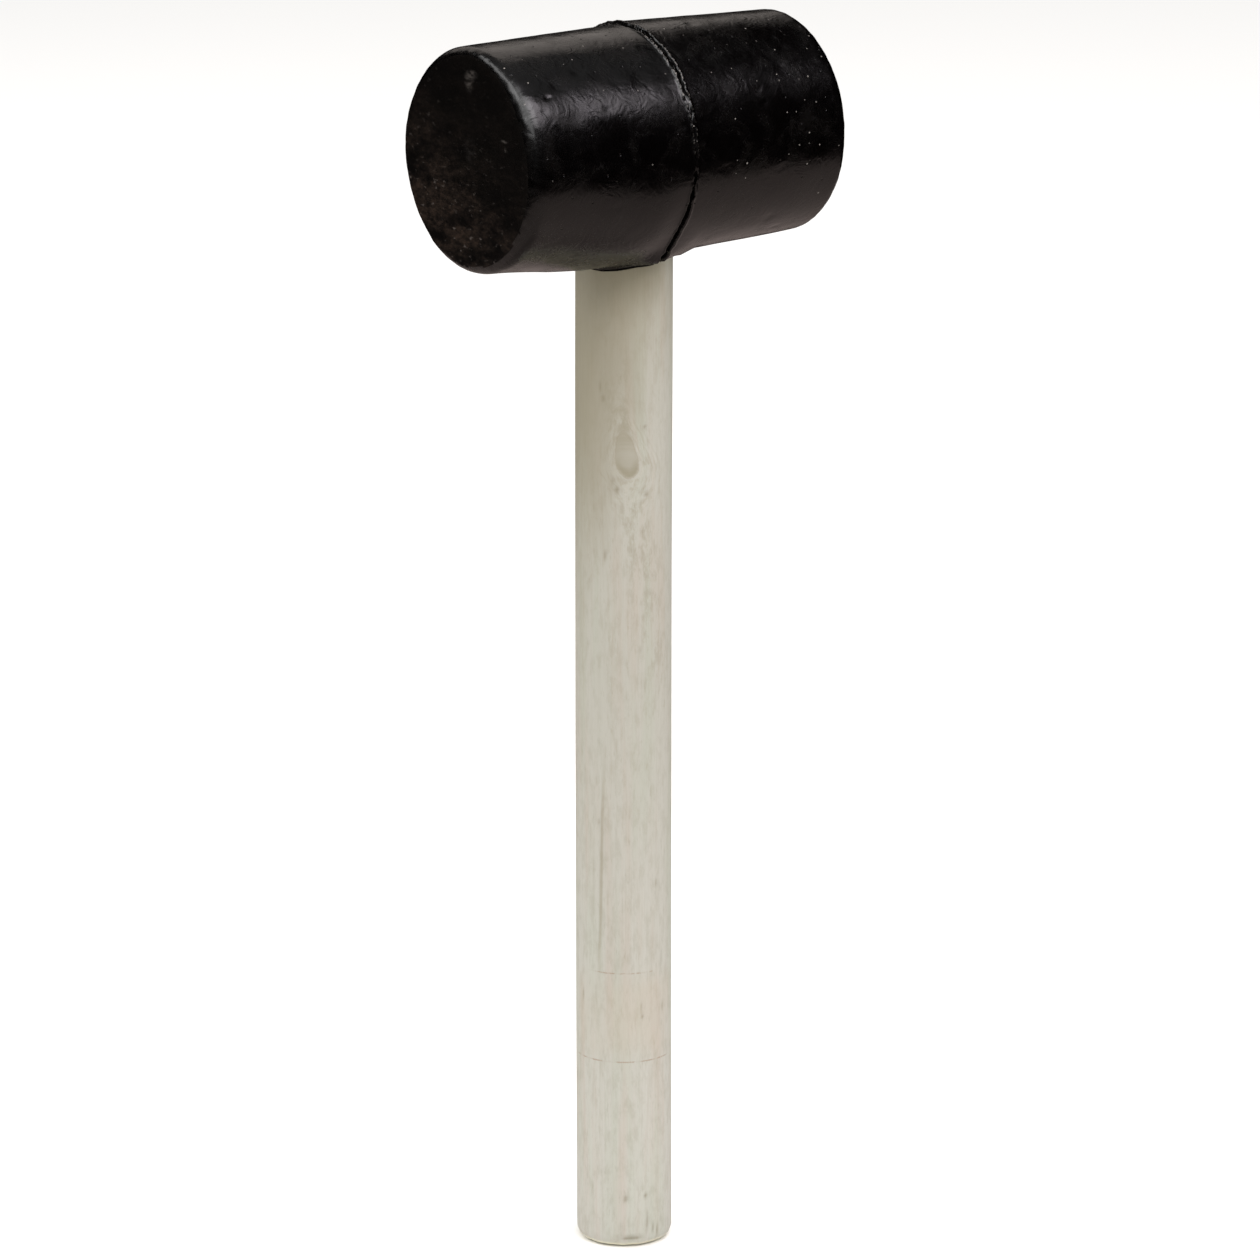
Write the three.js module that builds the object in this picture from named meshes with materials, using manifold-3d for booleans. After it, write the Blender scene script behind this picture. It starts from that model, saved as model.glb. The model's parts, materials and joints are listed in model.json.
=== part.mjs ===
// A rubber mallet in millimetres: one moulded rubber head with a blind socket, a turned hardwood handle
// driven into it from below, and the film of adhesive that bonds the two.
// +Z is up the handle, the head lies along X, and the origin is the centre of the handle's butt face.
import * as THREE from 'three';
import { mergeVertices } from 'three/addons/utils/BufferGeometryUtils.js';
import Module from 'manifold-3d';

const wasm = await Module();
wasm.setup();

// Head: two mould halves meet in the plane X = 0, each drafted down to its strike face
const HEAD_LENGTH = 105;
const HEAD_RADIUS = 32.5;
const DRAFT_DEGREES = 2;
const STRIKE_EDGE_RADIUS = 2.2;
const MOULD_STEP = 0.5;
const HEAD_SEGMENTS = 64;

// Flash: the thin ridge of rubber squeezed out between the mould halves
const FLASH_WIDTH = 1.4;
const FLASH_HEIGHT = 0.6;

// Handle: a plain dowel of one diameter from the butt to the end of the socket
const HANDLE_RADIUS = 13.45;
const HEAD_AXIS_HEIGHT = 316.5;
const BUTT_ROUNDING = 2.8;
const TENON_CHAMFER = 2;
const TENON_ABOVE_AXIS = 13;
const HANDLE_SEGMENTS = 48;

// Socket: blind, and wider than the handle by the adhesive film and the clearance on each side of it
const CLEARANCE = 0.3;
const ADHESIVE_THICKNESS = 0.4;
const SOCKET_RADIUS = HANDLE_RADIUS + ADHESIVE_THICKNESS + 2 * CLEARANCE;
const SOCKET_MOUTH_CHAMFER = 0.8;

// Lip: the rubber that the handle pushes outward around the socket's mouth
const LIP_HEIGHT = 1.7;
const LIP_REACH = 26;
const LIP_STATION_STEP = 2.6;

const tenonEnd = HEAD_AXIS_HEIGHT + TENON_ABOVE_AXIS;
const socketEnd = tenonEnd + ADHESIVE_THICKNESS + 2 * CLEARANCE;
const faceRadius = HEAD_RADIUS - Math.tan(THREE.MathUtils.degToRad(DRAFT_DEGREES)) * HEAD_LENGTH / 2;

// Points of a quarter round about (centreR, centreY), as Vector2(radius, height)
function quarterRound(centreR, centreY, radius, fromAngle, toAngle, steps) {
  const points = [];
  for (let i = 0; i <= steps; i += 1) {
    const angle = THREE.MathUtils.lerp(fromAngle, toAngle, i / steps);
    points.push(new THREE.Vector2(centreR + radius * Math.cos(angle), centreY + radius * Math.sin(angle)));
  }
  return points;
}

// A profile turned about +Z, with shared vertices so that it is one closed surface
function turned(profile, segments) {
  const geometry = new THREE.LatheGeometry(profile, segments);
  geometry.rotateX(Math.PI / 2);
  return closed(geometry);
}

function closed(geometry) {
  geometry.deleteAttribute('normal');
  geometry.deleteAttribute('uv');
  const merged = mergeVertices(geometry, 1e-4);
  const corners = merged.index.array;
  const kept = [];
  for (let i = 0; i < corners.length; i += 3) {
    const [a, b, c] = corners.slice(i, i + 3);
    if (a !== b && b !== c && c !== a) kept.push(a, b, c);
  }
  merged.setIndex(kept);
  return merged;
}

function toSolid(geometry) {
  const vertProperties = new Float32Array(geometry.attributes.position.array);
  const triVerts = new Uint32Array(geometry.index.array);
  return new wasm.Manifold(new wasm.Mesh({ numProp: 3, vertProperties, triVerts }));
}

function toGeometry(solid) {
  const mesh = solid.getMesh();
  const geometry = new THREE.BufferGeometry();
  geometry.setAttribute('position', new THREE.BufferAttribute(mesh.vertProperties, 3));
  geometry.setIndex(new THREE.BufferAttribute(mesh.triVerts, 1));
  return geometry;
}

function piece(name, geometry, color, roughness) {
  geometry.computeVertexNormals();
  const material = new THREE.MeshStandardMaterial({ color, roughness, metalness: 0 });
  const mesh = new THREE.Mesh(geometry, material);
  mesh.name = name;
  return mesh;
}

// Half of the head's outline, from the centre of a strike face to the foot of the flash ridge
function headHalfProfile() {
  const halfLength = HEAD_LENGTH / 2;
  const edgeCentreY = -halfLength + STRIKE_EDGE_RADIUS;
  const edgeCentreR = faceRadius - STRIKE_EDGE_RADIUS;
  const points = [new THREE.Vector2(0, -halfLength)];
  points.push(...quarterRound(edgeCentreR, edgeCentreY, STRIKE_EDGE_RADIUS, -Math.PI / 2, 0, 4));
  const footY = -FLASH_WIDTH / 2;
  const stations = Math.ceil((LIP_REACH + footY) / LIP_STATION_STEP);
  for (let i = 0; i <= stations; i += 1) {
    const y = THREE.MathUtils.lerp(-LIP_REACH, footY, i / stations);
    const r = THREE.MathUtils.mapLinear(y, edgeCentreY, 0, faceRadius, HEAD_RADIUS);
    points.push(new THREE.Vector2(r, y));
  }
  points.push(new THREE.Vector2(HEAD_RADIUS + FLASH_HEIGHT, footY / 2));
  return points;
}

// How far the rubber stands out at a distance from the handle's axis
function lipHeight(distance) {
  const t = THREE.MathUtils.clamp((distance - SOCKET_RADIUS) / (LIP_REACH - SOCKET_RADIUS), 0, 1);
  return LIP_HEIGHT * (1 + Math.cos(Math.PI * t)) / 2;
}

// The head before its socket is cut: a barrel along X about the origin, with the mould halves out of
// line by MOULD_STEP and the underside pushed out around the handle
function headBarrel() {
  const half = headHalfProfile();
  const other = half.map((point) => new THREE.Vector2(point.x, -point.y)).reverse();
  const barrel = new THREE.LatheGeometry([...half, ...other], HEAD_SEGMENTS);
  barrel.rotateZ(-Math.PI / 2);
  const geometry = closed(barrel);
  const position = geometry.attributes.position;
  for (let i = 0; i < position.count; i += 1) {
    const point = new THREE.Vector3().fromBufferAttribute(position, i);
    const radius = Math.hypot(point.y, point.z);
    if (point.z < 0 && radius > HEAD_RADIUS / 2) {
      const swollen = 1 + lipHeight(Math.hypot(point.x, point.y)) / radius;
      point.y *= swollen;
      point.z *= swollen;
    }
    point.z += Math.abs(point.x) < FLASH_WIDTH / 2 ? 0 : Math.sign(point.x) * MOULD_STEP / 2;
    position.setXYZ(i, point.x, point.y, point.z);
  }
  return geometry;
}

// The core that leaves the blind socket, with the small chamfer at its mouth
function socketCore() {
  const mouth = HEAD_AXIS_HEIGHT - HEAD_RADIUS - LIP_HEIGHT;
  const below = mouth - 2 * LIP_HEIGHT;
  const chamferTop = HEAD_AXIS_HEIGHT - Math.sqrt(HEAD_RADIUS ** 2 - SOCKET_RADIUS ** 2);
  const slope = SOCKET_MOUTH_CHAMFER / (chamferTop - mouth);
  const profile = [
    new THREE.Vector2(0, below),
    new THREE.Vector2(SOCKET_RADIUS + slope * (chamferTop - below), below),
    new THREE.Vector2(SOCKET_RADIUS, chamferTop),
    new THREE.Vector2(SOCKET_RADIUS, socketEnd),
    new THREE.Vector2(0, socketEnd),
  ];
  return turned(profile, HANDLE_SEGMENTS);
}

function rubberHead() {
  const barrel = headBarrel();
  barrel.translate(0, 0, HEAD_AXIS_HEIGHT);
  return toGeometry(toSolid(barrel).subtract(toSolid(socketCore())));
}

function woodenHandle() {
  const buttCentreR = HANDLE_RADIUS - BUTT_ROUNDING;
  const profile = [
    new THREE.Vector2(0, 0),
    ...quarterRound(buttCentreR, BUTT_ROUNDING, BUTT_ROUNDING, -Math.PI / 2, 0, 5),
    new THREE.Vector2(HANDLE_RADIUS, tenonEnd - TENON_CHAMFER),
    new THREE.Vector2(HANDLE_RADIUS - TENON_CHAMFER, tenonEnd),
    new THREE.Vector2(0, tenonEnd),
  ];
  return turned(profile, HANDLE_SEGMENTS);
}

// The cured film around the tenon and over its end, a cup with its mouth just inside the socket
function adhesiveFilm() {
  const innerR = HANDLE_RADIUS + CLEARANCE;
  const outerR = innerR + ADHESIVE_THICKNESS;
  const mouth = HEAD_AXIS_HEIGHT - HEAD_RADIUS + 2 * TENON_CHAMFER + LIP_HEIGHT;
  const innerEnd = tenonEnd + CLEARANCE;
  const profile = [
    new THREE.Vector2(innerR, mouth),
    new THREE.Vector2(outerR, mouth),
    new THREE.Vector2(outerR, innerEnd + ADHESIVE_THICKNESS),
    new THREE.Vector2(0, innerEnd + ADHESIVE_THICKNESS),
    new THREE.Vector2(0, innerEnd),
    new THREE.Vector2(innerR, innerEnd),
    new THREE.Vector2(innerR, mouth),
  ];
  return turned(profile, HANDLE_SEGMENTS);
}

const mallet = new THREE.Group();
mallet.add(piece('rubber_head', rubberHead(), 0x1b1a19, 0.55));
mallet.add(piece('socket_adhesive', adhesiveFilm(), 0xb98a3c, 0.35));
mallet.add(piece('wooden_handle', woodenHandle(), 0xc9c3b2, 0.65));

export default mallet;
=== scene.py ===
"""A rubber mallet: a moulded black rubber head on a hardwood handle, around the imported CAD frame."""
import json
import math
from functools import partial

import bpy
import numpy as np
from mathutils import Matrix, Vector, noise


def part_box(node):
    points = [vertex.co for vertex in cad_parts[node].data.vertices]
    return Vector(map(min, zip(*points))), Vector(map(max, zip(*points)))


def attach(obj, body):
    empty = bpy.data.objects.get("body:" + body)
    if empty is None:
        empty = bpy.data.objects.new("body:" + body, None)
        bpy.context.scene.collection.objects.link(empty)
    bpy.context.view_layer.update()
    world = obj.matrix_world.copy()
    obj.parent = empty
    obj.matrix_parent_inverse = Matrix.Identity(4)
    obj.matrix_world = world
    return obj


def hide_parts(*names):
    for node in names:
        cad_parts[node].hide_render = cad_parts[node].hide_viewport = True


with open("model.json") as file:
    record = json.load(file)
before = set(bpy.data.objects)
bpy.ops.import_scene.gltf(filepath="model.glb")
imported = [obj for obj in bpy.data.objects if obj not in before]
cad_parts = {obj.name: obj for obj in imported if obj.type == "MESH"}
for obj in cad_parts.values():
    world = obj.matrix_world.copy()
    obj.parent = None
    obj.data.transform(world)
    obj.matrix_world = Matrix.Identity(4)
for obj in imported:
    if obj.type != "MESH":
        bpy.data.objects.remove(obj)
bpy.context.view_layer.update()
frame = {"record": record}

# ---------------------------------------------------------------------------------------------
# Rubber head. One solid barrel of black rubber, cured in a two-part steel mould that met around
# its middle, so each half drafts down to its strike face. The halves closed slightly out of line,
# and rubber squeezed out between them and was torn off, which left a ragged line of flash.
# ---------------------------------------------------------------------------------------------

MM = 0.001
mounts = {mount["name"]: mount for mount in frame["record"]["mounts"]}
_, head_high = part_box("rubber_head")

FLASH_HEIGHT = 0.6
HEAD_AXIS = mounts["strike_face_plus_x"]["pos_m"][2] / MM
HALF_LENGTH = head_high[0] / MM
MID_RADIUS = head_high[1] / MM - FLASH_HEIGHT
DRAFT = math.tan(math.radians(2))
CRISP_EDGE = 2.0
WORN_EDGE = 6.0
MOULD_STEP = 0.8
LEFT_RISE = 1.0
RIGHT_STRETCH = 1.2
ROUND_STEPS = 448
EDGE_STEPS = 10

# The socket in the underside, the lip that the tight handle pushes out around its mouth, and half
# the length of the patch of wall whose mesh closes in on that mouth
film_low, film_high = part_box("socket_adhesive")
SOCKET_RADIUS = film_high[0] / MM + 0.3
SOCKET_END = film_high[2] / MM + 0.3
LIP_HEIGHT = 1.7
LIP_REACH = 26.0
LIP_ROUND = 0.9
MOUTH_PATCH = 22.5

# How wide the torn lips of the flash are, and how far outside the tear they stand
FLASH_WIDTH = 0.38
FLASH_OFFSET = 0.34

# Torn flash by the angle around the head, in degrees from the side facing -Y up over the top:
# (angle, lip on the -X half, lip on the +X half, depth of the tear, half its width), in mm
FLASH = np.array([
    (-180, 0.25, 0.30, 0.60, 0.28),
    (-90, 0.12, 0.12, 1.20, 0.50),
    (-70, 0.14, 0.16, 1.80, 0.98),
    (-50, 0.14, 0.18, 1.80, 0.88),
    (-30, 0.16, 0.18, 1.60, 0.74),
    (-12, 0.20, 0.18, 1.20, 0.52),
    (-4, 0.26, 0.24, 0.40, 0.34),
    (4, 0.30, 0.26, 0.14, 0.24),
    (18, 0.32, 0.28, 0.14, 0.26),
    (30, 0.42, 0.40, 0.25, 0.30),
    (42, 0.62, 0.65, 1.00, 0.40),
    (52, 0.65, 0.60, 1.10, 0.36),
    (62, 0.65, 0.50, 1.20, 0.36),
    (72, 0.50, 0.40, 1.20, 0.42),
    (82, 0.15, 0.30, 1.10, 0.40),
    (96, 0.00, 0.30, 0.90, 0.36),
    (112, 0.05, 0.30, 0.60, 0.30),
    (135, 0.30, 0.30, 0.50, 0.28),
    (180, 0.25, 0.30, 0.60, 0.28),
])

# How far the edge of the -X face has worn from crisp (0) to round (1), by the same angle
WEAR = np.array([
    (-180, 0.09),
    (-120, 0.06),
    (-95, 0.18),
    (-60, 0.60),
    (-14, 0.62),
    (10, 0.90),
    (34, 0.95),
    (55, 0.55),
    (80, 0.12),
    (105, 0.33),
    (130, 0.36),
    (155, 0.21),
    (180, 0.09),
])

# Dimples pressed or knocked into the surface: (x, angle in degrees, radius, depth), in mm. Here and below,
# the few in plain view are listed one by one and the rest are scattered.
DIMPLES = [
    (-43.0, 39.9, 0.55, 0.35),
    (-30.0, 52.0, 1.6, 0.12),
    (-25.8, 30.0, 1.1, 0.14),
    (-36.0, 28.0, 2.2, 0.10),
    (-12.0, 44.0, 2.6, 0.10),
    (17.1, 65.1, 0.9, 0.22),
    (25.2, 22.1, 0.9, 0.20),
    (34.0, 40.0, 1.8, 0.12),
]
scatter = np.random.default_rng(7)
DIMPLES += scatter.uniform((-50, -180, 0.5, 0.05), (50, 180, 1.9, 0.2), (60, 4)).tolist()

# Dents in the strike faces, where they met corners and nail heads: (y, z, radius, depth), in mm
FACE_DENTS = [(8.0, 17.0, 3.0, 0.25), (-9.0, 2.0, 1.0, 0.25), (12.0, -19.0, 1.4, 0.3)]
FACE_DENTS += scatter.uniform((-24, -26, 0.8, 0.05), (24, 10, 2.4, 0.22), (40, 4)).tolist()


def uneven(points, size, seed=0.0):
    """Smooth noise from -1 to 1 at points in mm, with lumps of about that size in mm."""
    shift = Vector((seed, 2.3 * seed, -1.7 * seed))
    return np.array([noise.noise(Vector(point) / size + shift) for point in points])


def bump_around(angle, middle, spread):
    """1 at the middle angle, falling to 0 away from it; both in degrees, the angle in radians."""
    away = np.degrees(np.angle(np.exp(1j * (angle - math.radians(middle)))))
    return np.exp(-((away / spread) ** 2))


def flash_height(x, angle, points):
    """Height of the torn flash, then how far inside the open tear each point is, from 0 to 1."""
    degrees = np.degrees(angle)
    columns = FLASH[:, 1:].T
    left, right, depth, half_width = [np.interp(degrees, FLASH[:, 0], column) for column in columns]
    on_line = np.stack([0 * x, points[:, 1], points[:, 2]], axis=1)
    across = x - 0.28 * uneven(on_line, 7.0, 3.0) - 0.18 * uneven(on_line, 1.7, 4.0)
    half_width = half_width * (1 + 0.55 * uneven(on_line, 2.2, 10.0))
    ragged = 1 + 0.8 * uneven(points, 1.3, 5.0) + 0.6 * uneven(points, 0.6, 6.0)
    ridge_at = half_width + FLASH_OFFSET
    ridge = left * np.exp(-(((across + ridge_at) / FLASH_WIDTH) ** 2))
    ridge += right * np.exp(-(((across - ridge_at) / FLASH_WIDTH) ** 2))
    tear = np.exp(-((across / half_width) ** 6))
    uneven_depth = depth * (0.8 + 0.3 * uneven(on_line, 2.5, 8.0))
    return ridge * ragged - uneven_depth * tear, tear * np.clip(depth, 0, 1)


def lip_height(x, y, angle_around_handle, level):
    """How far the rubber stands out around the handle: a narrow lip under the +X half and a broad
    swelling under the -X half, which runs level with the +X half next to the parting line."""
    reach = np.clip((np.hypot(1.35 * x, y) - SOCKET_RADIUS) / (LIP_REACH - SOCKET_RADIUS), 0, 1)
    narrow = LIP_HEIGHT * (1 + np.cos(np.pi * reach)) / 2
    distance = np.hypot(x, y)
    broad = 1.1 * (1 + np.cos(np.pi * np.clip((distance - 22) / 26, 0, 1))) / 2
    near = (1 + np.cos(np.pi * np.clip((distance - SOCKET_RADIUS) / 8, 0, 1))) / 2
    broad += 0.6 * near * bump_around(angle_around_handle, -105, 30)
    broad -= 0.75 * near * bump_around(angle_around_handle, 180, 28)
    beside_mouth = (1 + np.cos(np.pi * np.clip((distance - SOCKET_RADIUS) / 6, 0, 1))) / 2
    droop = 1.4 * beside_mouth * np.exp(-(((x + 1.5) / 4.5) ** 2))
    return np.where(x > 0, narrow, broad + (narrow - broad) * level) + droop


def head_points(x, radius, angle, normal_x, normal_r):
    """Points of the head about its own axis, in mm, pushed out along their normals by its detail,
    with how far each lies inside the open tear and how far it stands up in the flash."""
    plain = np.stack([x, -radius * np.cos(angle), radius * np.sin(angle)], axis=1)
    out = 0.16 * uneven(plain, 24.0, 1.0) + 0.06 * uneven(plain, 6.0, 2.0)
    out += 0.010 * uneven(plain, 1.8, 9.0)
    worn_edge = np.exp(-(((np.abs(x) - HALF_LENGTH + 0.6) / 1.2) ** 2)) * (radius > 25)
    out += worn_edge * (0.12 * uneven(plain, 2.4, 11.0) - 0.05)
    for at_x, at_angle, size, depth in DIMPLES:
        turn = np.angle(np.exp(1j * (angle - math.radians(at_angle))))
        away = ((x - at_x) ** 2 + (radius * turn) ** 2) / size ** 2
        out -= depth * np.exp(-away) * (normal_r > 0.7)
    for at_y, at_z, size, depth in FACE_DENTS:
        away = ((plain[:, 1] - at_y) ** 2 + (plain[:, 2] - at_z) ** 2) / size ** 2
        out -= depth * np.exp(-away) * (np.abs(normal_x) > 0.9)
    near_line = np.abs(x) < 5
    flash, tear = flash_height(x, angle, plain)
    out += flash * near_line
    below = np.clip(-plain[:, 2] / 14, 0, 1)
    below = below ** 2 * (3 - 2 * below) * (radius > MID_RADIUS / 2)
    level = below * np.exp(-((x / 7) ** 2))
    out += below * lip_height(x, plain[:, 1], np.arctan2(plain[:, 1], x), level)
    points = plain.copy()
    points[:, 0] += normal_x * out
    points[:, 1] -= normal_r * out * np.cos(angle)
    points[:, 2] += normal_r * out * np.sin(angle)
    sagging = -MOULD_STEP + LEFT_RISE * np.clip(-x / HALF_LENGTH, 0, 1)
    points[:, 2] += np.where(x < 0, sagging * (1 - level), 0.0) * np.clip(-x / 0.15, 0, 1)
    points[:, 0] *= np.where(x > 0, 1 + RIGHT_STRETCH / HALF_LENGTH, 1.0)
    return points, tear * near_line, np.clip(flash, 0, 1) * near_line


def wall_stations(edge):
    """Distances from the parting line: close together in the flash, wider out on the plain wall."""
    stations = [0.0]
    step = 0.16
    while stations[-1] < HALF_LENGTH - CRISP_EDGE:
        if stations[-1] > 1.9:
            step = min(step * 1.12, 1.1)
        stations.append(stations[-1] + step)
    stations = np.array(stations)
    return stations * (HALF_LENGTH - edge) / stations[-1]


def wall_radius(x):
    """Radius of the drafted wall at a place along the head."""
    return MID_RADIUS - np.abs(x) * DRAFT


def half_profile(edge):
    """Rings from the parting line to a strike face, each as (x, radius, normal_x, normal_r)."""
    half = [(x, wall_radius(x), 0.0, 1.0) for x in wall_stations(edge)]
    corner_x = HALF_LENGTH - edge
    corner_r = wall_radius(corner_x) - edge
    for i in range(1, EDGE_STEPS + 1):
        turn = math.radians(90) * i / EDGE_STEPS
        half.append((
            corner_x + edge * math.sin(turn),
            corner_r + edge * math.cos(turn),
            math.sin(turn),
            math.cos(turn),
        ))
    for radius in np.linspace(corner_r, 0, 27)[1:-1]:
        half.append((HALF_LENGTH, radius, 1.0, 0.0))
    return half


def head_profile(edge):
    """Rings from the -X face, with an edge of that radius, to the +X face, with a crisp one."""
    mirrored = [(-x, radius, -normal_x, normal_r) for x, radius, normal_x, normal_r in half_profile(edge)]
    return np.array(mirrored[:0:-1] + half_profile(CRISP_EDGE))


def ring_faces(first, second):
    """Quads between two closed rings of vertex numbers."""
    count = len(first)
    return [(first[i], first[(i + 1) % count], second[(i + 1) % count], second[i]) for i in range(count)]


def build_mesh(name, points, faces):
    """An object with that mesh, from points in mm, shaded smooth."""
    mesh = bpy.data.meshes.new(name)
    mesh.from_pydata((np.asarray(points) * MM).tolist(), [], faces)
    mesh.update()
    mesh.shade_smooth()
    made = bpy.data.objects.new(name, mesh)
    bpy.context.scene.collection.objects.link(made)
    return made


def mark_points(made, name, values):
    """Gives each point of a mesh a value that its materials can read."""
    layer = made.data.attributes.new(name, "FLOAT", "POINT")
    layer.data.foreach_set("value", values.astype(np.float32))


def build_head():
    profile = head_profile(CRISP_EDGE)
    worn = head_profile(WORN_EDGE)
    angles = math.radians(-180) + math.radians(360) * np.arange(ROUND_STEPS) / ROUND_STEPS
    station, turn = np.meshgrid(np.arange(len(profile)), angles, indexing="ij")
    station, turn = station.ravel(), turn.ravel()
    wear = np.interp(np.degrees(turn), WEAR[:, 0], WEAR[:, 1])
    rows = profile[station] + (worn - profile)[station] * wear[:, None]
    points, tear, flash = head_points(rows[:, 0], rows[:, 1], turn, rows[:, 2], rows[:, 3])

    def at(i, j):
        return i * ROUND_STEPS + j % ROUND_STEPS

    # The plain wall, without the rectangle of quads that the socket's mouth takes
    mouth = np.flatnonzero((np.abs(profile[:, 0]) < MOUTH_PATCH) & (profile[:, 3] == 1.0))
    low_i, high_i = int(mouth[0]), int(mouth[-1])
    low_j, high_j = ROUND_STEPS // 8, 3 * ROUND_STEPS // 8
    faces = []
    for i in range(len(profile) - 1):
        for j in range(ROUND_STEPS):
            if low_i <= i < high_i and low_j <= j < high_j:
                continue
            faces.append((at(i, j), at(i + 1, j), at(i + 1, j + 1), at(i, j + 1)))

    # Rings that close in from that rectangle to the round mouth, then over the lip and up the wall
    edge = [at(i, low_j) for i in range(low_i, high_i)]
    edge += [at(high_i, j) for j in range(low_j, high_j)]
    edge += [at(i, high_j) for i in range(high_i, low_i, -1)]
    edge += [at(low_i, j) for j in range(high_j, low_j, -1)]
    edge_rows = rows[edge]
    edge_turn = angles[np.array(edge) % ROUND_STEPS]
    outer = np.stack([edge_rows[:, 0], -edge_rows[:, 1] * np.cos(edge_turn)], axis=1)
    spoke = outer / np.linalg.norm(outer, axis=1, keepdims=True)
    lip_circle = spoke * (SOCKET_RADIUS + LIP_ROUND)
    tears_and_lip_shade = [tear]
    flashes = [flash]
    rings = [points]
    chain = [edge]

    def add_ring(ring, ring_tear, ring_flash):
        first = sum(len(r) for r in rings)
        rings.append(ring)
        tears_and_lip_shade.append(ring_tear)
        flashes.append(ring_flash)
        chain.append(list(range(first, first + len(edge))))
        faces.extend(ring_faces(chain[-2], chain[-1]))

    steps = 20
    for k in range(1, steps + 1):
        place = outer + (lip_circle - outer) * k / steps
        radius = wall_radius(place[:, 0])
        turn = -np.arccos(np.clip(-place[:, 1] / radius, -1, 1))
        add_ring(*head_points(place[:, 0], radius, turn, 0 * radius, 0 * radius + 1))
    rim = rings[-1]
    none = 0 * rim[:, 0]
    around = np.arctan2(spoke[:, 1], spoke[:, 0])
    # The skirt lowers the bead on the side towards -X and -Y, and marks that part of the lip for the black
    # torn rubber, which there is painted shade
    skirt_and_shade = bump_around(around, -130, 48)
    bead = 0.15 + 1.35 * skirt_and_shade + 0.10 * uneven(rim, 3.0, 12.0)
    for k in range(1, 8):
        turn = math.radians(90) * k / 7
        ring = rim.copy()
        ring[:, :2] = spoke * (SOCKET_RADIUS + LIP_ROUND * (1 - math.sin(turn)))
        ring[:, 2] += LIP_ROUND * (1 - math.cos(turn)) - bead * math.sin(2 * turn)
        add_ring(ring, np.maximum(tears_and_lip_shade[-1] * 0.8, skirt_and_shade), none)
    mouth_z = rings[-1][:, 2]
    end_z = SOCKET_END - HEAD_AXIS
    for k in range(1, 9):
        ring = np.column_stack([spoke * SOCKET_RADIUS, mouth_z + (end_z - mouth_z) * k / 8])
        add_ring(ring, none, none)
    for radius in (12.0, 8.0, 4.0):
        ring = np.column_stack([spoke * radius, 0 * mouth_z + end_z])
        add_ring(ring, none, none)

    # The centres of the socket's blind end and of the two strike faces
    count = sum(len(r) for r in rings)
    last = len(profile) - 1
    centres = np.array([(0, 0, end_z), (-HALF_LENGTH, 0, 0), (HALF_LENGTH + RIGHT_STRETCH, 0, 0)])
    for i in range(len(edge)):
        faces.append((chain[-1][i], chain[-1][(i + 1) % len(edge)], count))
    for j in range(ROUND_STEPS):
        faces.append((count + 1, at(0, j), at(0, j + 1)))
        faces.append((count + 2, at(last, j + 1), at(last, j)))
    everything = np.concatenate(rings + [centres])
    everything[:, 2] += HEAD_AXIS
    made = build_mesh("moulded_rubber_head", everything, faces)
    mark_points(made, "torn", np.concatenate(tears_and_lip_shade + [np.zeros(3)]))
    mark_points(made, "flash", np.concatenate(flashes + [np.zeros(3)]))
    return made


def linear(code):
    """An sRGB hex colour as the linear RGBA that the shaders take."""
    channels = [int(code[i:i + 2], 16) / 255 for i in (1, 3, 5)]
    return [c / 12.92 if c <= 0.04045 else ((c + 0.055) / 1.055) ** 2.4 for c in channels] + [1.0]


def add_node(tree, kind, *inputs, **named):
    """Adds a node. Unnamed values are its first inputs in order, capitalised names are inputs by name,
    and lower-case names are its settings. An input takes a value, a socket, or a node, which stands
    for its output in use."""
    node = tree.nodes.new("ShaderNode" + kind)
    fed = []
    for name, value in named.items():
        if name[0].islower():
            setattr(node, name, value)
        else:
            socket = next(s for s in node.inputs if s.enabled and s.name == name.replace("_", " "))
            fed.append((socket, value))
    for socket, value in [*zip(node.inputs, inputs), *fed]:
        if isinstance(value, bpy.types.Node):
            value = next(s for s in value.outputs if s.enabled)
        if isinstance(value, bpy.types.NodeSocket):
            tree.links.new(value, socket)
        else:
            socket.default_value = value
    return node


def new_material(name):
    """A material, and the function that adds nodes to its empty tree."""
    material = bpy.data.materials.new(name)
    material.use_nodes = True
    material.node_tree.nodes.clear()
    return material, partial(add_node, material.node_tree)


def place_in_mm(add):
    """The place that is being shaded, in mm in the piece's own frame."""
    place = add("TexCoord").outputs["Object"]
    return add("VectorMath", place, operation="SCALE", Scale=1 / MM)


# Settings of a map range that eases in and out
SMOOTH = {"interpolation_type": "SMOOTHSTEP"}


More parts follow.
